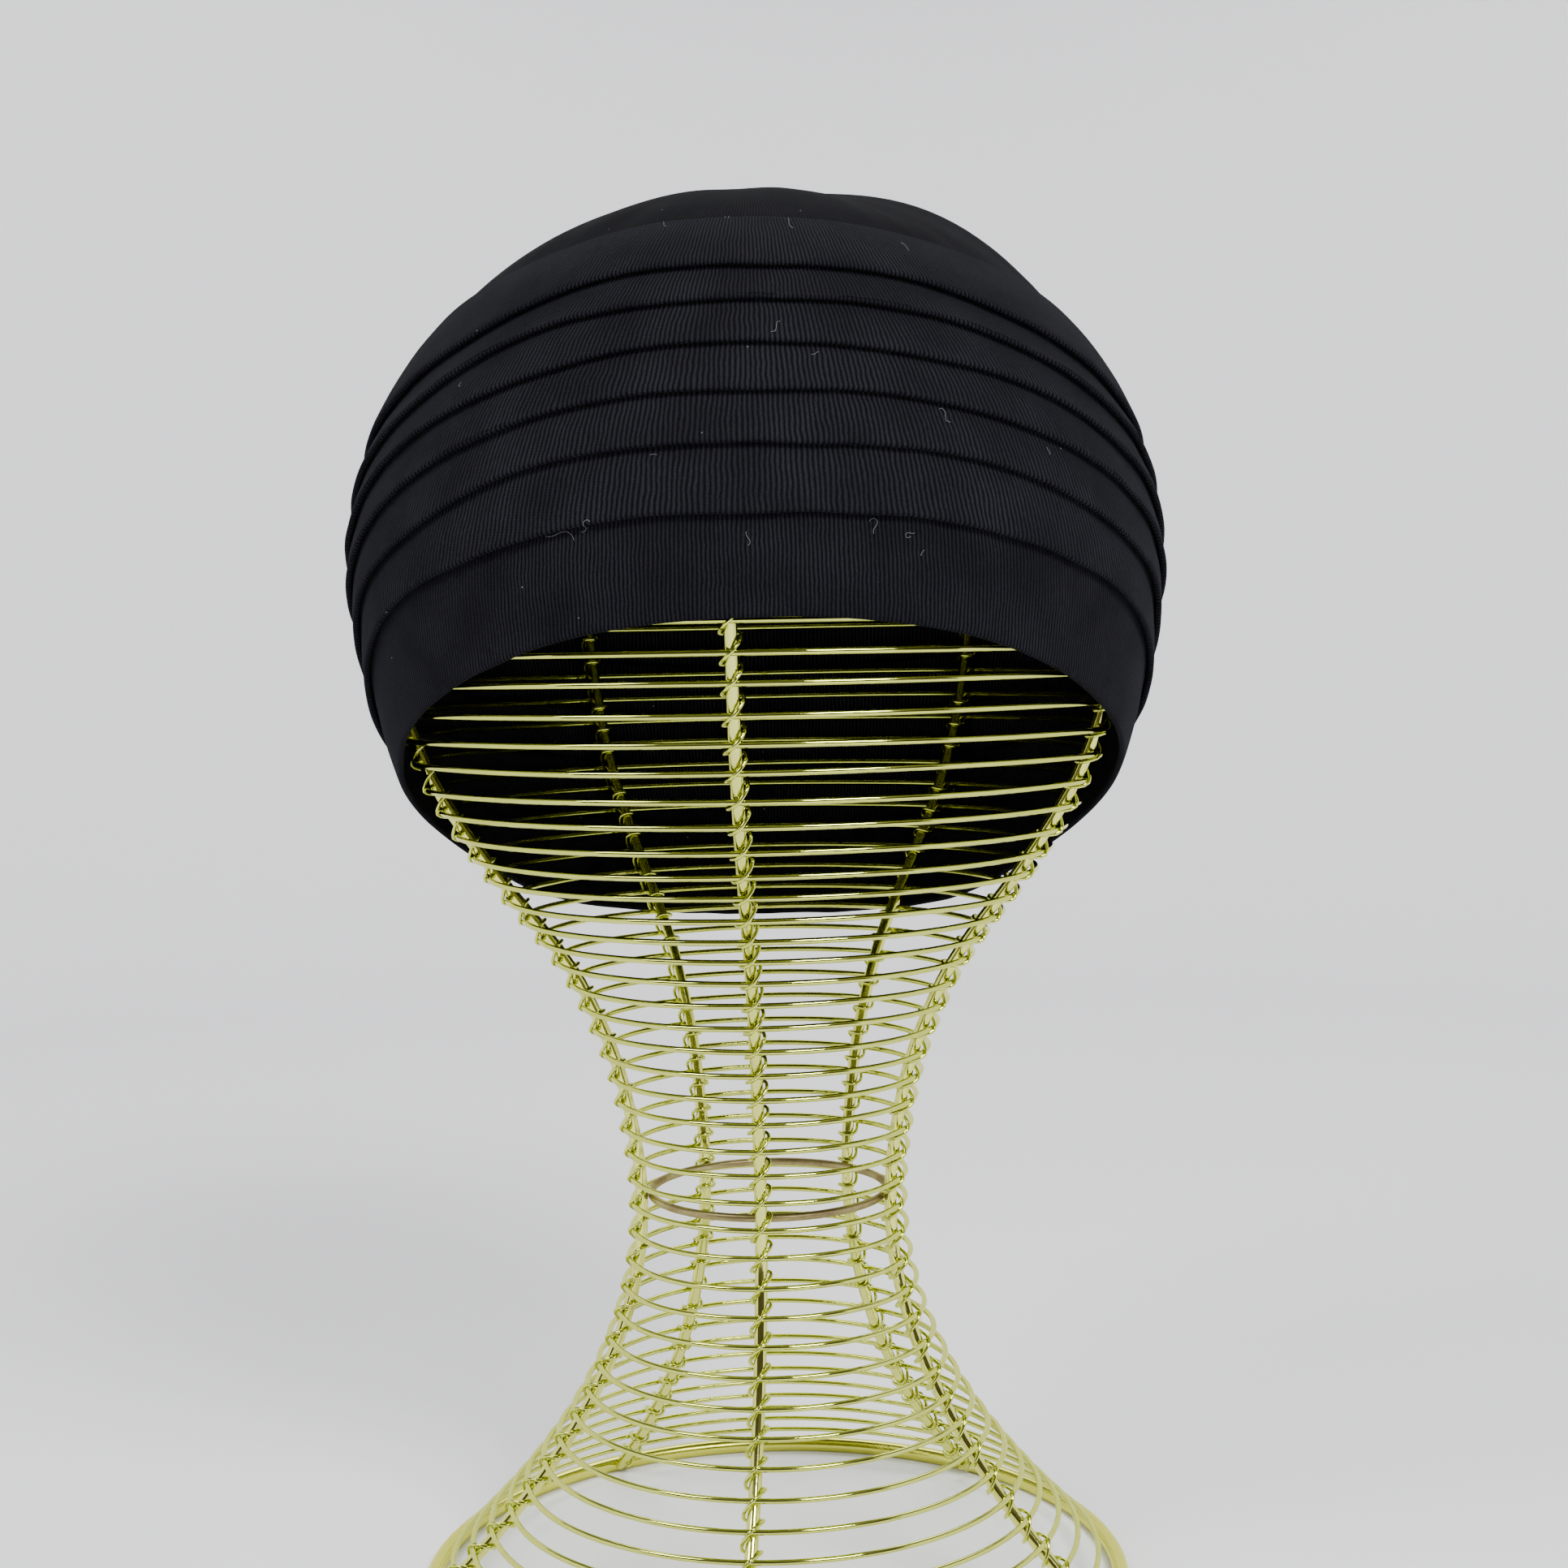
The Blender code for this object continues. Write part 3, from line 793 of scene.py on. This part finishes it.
def make_lint():
    chance = Random(11)
    paths = []
    for fibre in FIBRES:
        aside, above = 0.0, 0.0
        heading = chance.uniform(-pi, pi)
        phase = chance.uniform(-pi, pi)
        stretch = chance.uniform(1.0, 1.9)
        path = []
        for i in range(LINT_POINTS):
            lift = LINT_LIFT + LINT_LIFT_STEP * (i % 3)
            path.append(on_cloth(fibre.bearing + aside, fibre.height + above, lift))
            stride = stretch * fibre.length / LINT_POINTS
            aside += stride * cos(heading) / TURBAN_RADIUS * 180 / pi
            above += stride * sin(heading)
            heading += LINT_BEND * fibre.curl / LINT_POINTS * cos(phase + LINT_SWING * i / LINT_POINTS)
        paths.append(path)
    lint = plain_material("lint", (0.16, 0.165, 0.175), 0.8)
    add_wires("lint_fibres", paths, LINT_RADIUS, 6, lint, False)


make_lint()


# Wire stand


def even_stations(start, end, spaces):
    step = (end - start) / PROFILE_CUTS
    stations = [start + step * i for i in range(PROFILE_CUTS + 1)]
    lengths = [0.0]
    for low, high in zip(stations, stations[1:]):
        radius, height = on_cage(low)
        next_radius, next_height = on_cage(high)
        lengths.append(lengths[-1] + hypot(next_radius - radius, next_height - height))
    cuts = []
    for i in range(spaces + 1):
        goal = lengths[-1] * i / spaces
        nearest = min(range(len(lengths)), key=lambda k: abs(lengths[k] - goal))
        cuts.append(stations[nearest])
    return cuts


def hoop_stations():
    flare = even_stations(FOOT_STATION, NECK_STATION, FLARE_SPACES)[1:]
    head = even_stations(NECK_STATION, 0.0, HEAD_SPACES)[1:]
    dome = even_stations(0.0, TOP_STATION, DOME_SPACES)[1:]
    return flare + head + dome


HOOPS = hoop_stations()


def hoop_path(number, station):
    """A closed hoop outside the rods, a little uneven as bent wire is."""
    path = []
    for i in range(AROUND_HOOP):
        bearing = 2 * pi * i / AROUND_HOOP
        spot = Vector((1.1 * cos(bearing), 1.1 * sin(bearing), number * 2.3))
        wander = HOOP_WANDER * noise.noise(spot)
        radius, height = off_cage(station + wander, (ROD_WIRE + HOOP_WIRE) / 2 - HOOP_BITE)
        path.append(polar(radius, height, bearing))
    return path


def lashing_path(rod):
    """Thin wire up a rod: one turn for each hoop, leaning across the hoop's outside."""
    path = []
    stops = [FOOT_STATION] + HOOPS
    for before, here, after in zip(stops, stops[1:], stops[2:] + [TOP_STATION + 0.03]):
        for i in range(BIND_POINTS):
            turn = i / BIND_POINTS
            angle = 2 * pi * turn - pi
            lean = turn - 0.5 + BIND_LEAN * sin(angle)
            if lean < 0:
                station = here + (here - before) * lean
            else:
                station = here + (after - here) * lean
            front = max(0.0, cos(angle))
            push = (BIND_BACK + (BIND_OVER - BIND_BACK) * front ** 3) * cos(angle)
            slide = BIND_SIDE * sin(angle)
            radius, height = off_cage(station, push)
            bearing = rod_bearing(rod, height)
            point = polar(radius, height, bearing)
            path.append(point + polar(1.0, 0.0, bearing + pi / 2) * slide)
    return path


def rod_path(rod):
    below = even_stations(FOOT_STATION, 0.0, ROD_CUTS)
    dome = even_stations(0.0, TOP_STATION, ROD_DOME_CUTS)
    places = [on_cage(station) for station in below + dome[1:]]
    return [polar(radius, height, rod_bearing(rod, height)) for radius, height in places]


def ring_path(radius, height, around):
    return [polar(radius, height, 2 * pi * i / around) for i in range(around)]


def make_stand():
    hoops = add_wires(
        "hoops", [hoop_path(i, s) for i, s in enumerate(HOOPS)], HOOP_WIRE / 2, 8, GOLD, True
    )
    rods = add_wires(
        "rods", [rod_path(rod) for rod in RODS], ROD_WIRE / 2, 12, ROD_GOLD, False
    )
    lashings = add_wires(
        "lashings", [lashing_path(rod) for rod in RODS], BIND_WIRE / 2, 6, GOLD, False
    )
    foot = ring_path(FOOT_RING_RADIUS, FOOT_HEIGHT, AROUND_FOOT_RING)
    foot_ring = add_wires("foot_ring", [foot], FOOT_WIRE / 2, 20, FOOT_GOLD, True)
    neck_radius = NECK_RADIUS - (ROD_WIRE + NECK_RING_WIRE) / 2
    neck = ring_path(neck_radius, NECK_RING_HEIGHT, AROUND_NECK_RING)
    neck_ring = add_wires("neck_ring", [neck], NECK_RING_WIRE / 2, 12, NECK_GOLD, True)
    for piece in (rods, lashings, foot_ring, neck_ring):
        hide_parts("wire_stand")
    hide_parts(*["hoop_%d" % number for number in range(1, SOLID_HOOPS + 1)])


make_stand()
